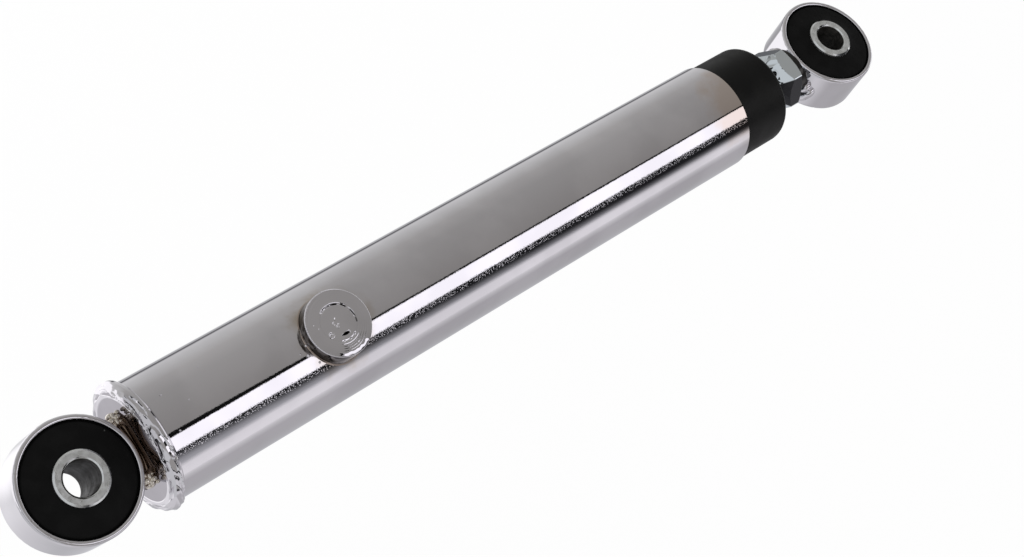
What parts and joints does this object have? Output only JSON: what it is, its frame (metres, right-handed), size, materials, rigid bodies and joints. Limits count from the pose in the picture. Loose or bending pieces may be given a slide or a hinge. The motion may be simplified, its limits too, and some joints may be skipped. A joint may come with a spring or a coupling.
{
  "type": "motorcycle shock absorber damper",
  "caption": "Twin-tube hydraulic damper with a rubber-bushed mounting eye at each end, a chromed body with a side filling boss, and a rod that slides out of a black end collar.",
  "frame": {"origin": "centre of the lower eye's bolt bore", "axes": "+X runs along the damper to the upper eye, +Z is along the lower eye's bolt, on the side boss's side, and +Y completes the right-handed frame"},
  "size_m": [0.345, 0.0398, 0.0425],
  "materials": {
    "bright_chrome": "bright chrome plate over polished steel",
    "hard_chrome_rod": "ground hard chrome",
    "black_collar": "satin black coating",
    "zinc_sleeve": "zinc plated, turned ends",
    "zinc_nut": "zinc plated",
    "bush_rubber": "moulded natural rubber, matt",
    "seal_rubber": "nitrile rubber",
    "sintered_iron": "sintered, fine grain",
    "bushing_bronze": "bronze, smooth",
    "ring_plastic": "filled fluoropolymer",
    "drawn_steel": "bright drawn, oiled",
    "spring_steel": "blued spring strip"
  },
  "bodies": {
    "damper_tube": {"outer_tube": "bright_chrome", "end_plate": "bright_chrome", "end_plate_weld": "bright_chrome", "lower_eye_ring": "bright_chrome", "lower_eye_weld": "bright_chrome", "lower_bush_rubber": "bush_rubber", "side_boss": "bright_chrome", "side_plug": "bright_chrome", "side_plug_seal": "seal_rubber", "inner_cylinder": "drawn_steel", "foot_valve_body": "sintered_iron", "foot_valve_bolt": "drawn_steel", "foot_valve_collar": "drawn_steel", "foot_valve_nut": "zinc_nut", "foot_valve_shims": "spring_steel", "foot_check_spring": "spring_steel", "rod_guide": "sintered_iron", "guide_bushing": "bushing_bronze", "rod_oil_seal": "seal_rubber", "guide_o_ring": "seal_rubber", "gland_nut": "drawn_steel", "end_collar": "black_collar", "rod_wiper": "seal_rubber"},
    "lower_sleeve": {"lower_bush_sleeve": "zinc_sleeve"},
    "foot_check": {"foot_check_plate": "spring_steel"},
    "piston_ring": {"piston_ring": "ring_plastic"},
    "rod_assembly": {"piston_rod": "hard_chrome_rod", "piston": "sintered_iron", "piston_nut": "zinc_nut", "piston_washer": "drawn_steel", "rebound_shims": "spring_steel", "piston_stop_collar": "drawn_steel", "piston_check_spring": "spring_steel", "rebound_spacer": "drawn_steel", "rebound_buffer": "bush_rubber", "upper_eye_socket": "bright_chrome", "upper_eye_ring": "bright_chrome", "upper_eye_weld": "bright_chrome", "upper_bush_rubber": "bush_rubber"},
    "piston_check": {"piston_check_plate": "spring_steel"},
    "upper_sleeve": {"upper_bush_sleeve": "zinc_sleeve"}
  },
  "joints": [
    {"name": "lower_bush_turn", "type": "hinge", "parent": "damper_tube", "child": "lower_sleeve", "pos_m": [0, 0, 0], "axis": [0, 0, 1], "range_deg": [-15, 15], "stiffness_Nm_per_rad": 2},
    {"name": "rod_slide", "type": "slide", "parent": "damper_tube", "child": "piston_ring", "axis": [1, 0, 0], "range_m": [-0.0078, 0.102]},
    {"name": "rod_turn", "type": "hinge", "parent": "piston_ring", "child": "rod_assembly", "pos_m": [0, 0, 0], "axis": [1, 0, 0], "continuous": true},
    {"name": "upper_bush_turn", "type": "hinge", "parent": "rod_assembly", "child": "upper_sleeve", "pos_m": [0.31, 0, 0], "axis": [0, 0.2639, 0.9646], "range_deg": [-15, 15], "stiffness_Nm_per_rad": 2},
    {"name": "foot_check_lift", "type": "slide", "parent": "damper_tube", "child": "foot_check", "axis": [1, 0, 0], "range_m": [0, 0.001], "stiffness_N_per_m": 150, "springref_m": -0.0005, "deforming": ["foot_check_spring"]},
    {"name": "piston_check_lift", "type": "slide", "parent": "rod_assembly", "child": "piston_check", "axis": [1, 0, 0], "range_m": [0, 0.001], "stiffness_N_per_m": 150, "springref_m": -0.0005, "deforming": ["piston_check_spring"]}
  ]
}
